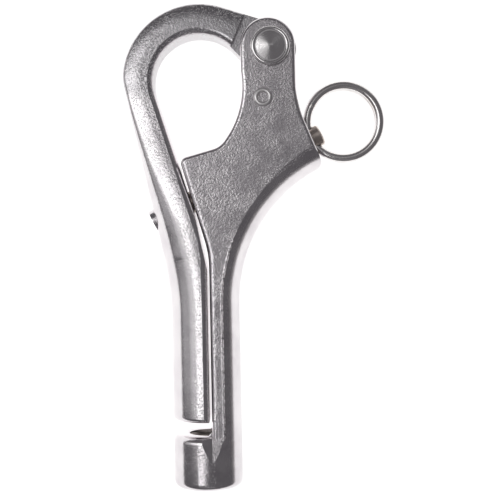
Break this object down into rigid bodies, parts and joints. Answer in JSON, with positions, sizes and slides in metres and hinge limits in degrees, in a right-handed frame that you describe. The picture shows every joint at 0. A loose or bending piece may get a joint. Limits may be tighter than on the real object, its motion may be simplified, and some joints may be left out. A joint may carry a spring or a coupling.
{
  "type": "pelican hook",
  "caption": "Cast pelican hook with a swinging hook arm, a sprung locking plunger with a pull ring, and a threaded socket for a guard wire.",
  "frame": {"origin": "centre of the mouth of the threaded socket", "axes": "+Y along the stem from the socket to the hook, +X towards the pull ring, +Z out of the flat front face, away from the surface that the hook lies on"},
  "size_m": [0.0483, 0.0892, 0.0131],
  "materials": {
    "cast_body": "cast stainless steel, tumbled and polished, with a fine satin grain on the flat faces",
    "cast_arm": "cast stainless steel, tumbled and polished, with a fine satin grain",
    "rivet": "turned and peened stainless steel",
    "plunger": "turned stainless steel, slightly darkened",
    "spring": "drawn spring wire",
    "bush": "turned stainless steel",
    "ring": "coiled spring wire, bright with darker oxide"
  },
  "bodies": {
    "stem": {"body": "cast_body", "pivot_rivet": "rivet", "retaining_bush": "bush", "plunger_spring": "spring"},
    "arm": {"hook_arm": "cast_arm"},
    "plunger": {"locking_plunger": "plunger"},
    "ring": {"pull_ring": "ring"}
  },
  "joints": [
    {"name": "hook_swing", "type": "hinge", "parent": "stem", "child": "arm", "pos_m": [0.01285, 0.0806, 0], "axis": [0, 0, -1], "range_deg": [0, 120]},
    {"name": "plunger_pull", "type": "slide", "parent": "stem", "child": "plunger", "axis": [0.8934, 0.4493, 0], "range_m": [0, 0.0066], "stiffness_N_per_m": 500, "springref_m": -0.01, "deforming": ["plunger_spring"]},
    {"name": "ring_swing", "type": "hinge", "parent": "plunger", "child": "ring", "pos_m": [0.02037, 0.06417, 0], "axis": [-0.4493, 0.8934, 0], "range_deg": [-35, 35]}
  ]
}
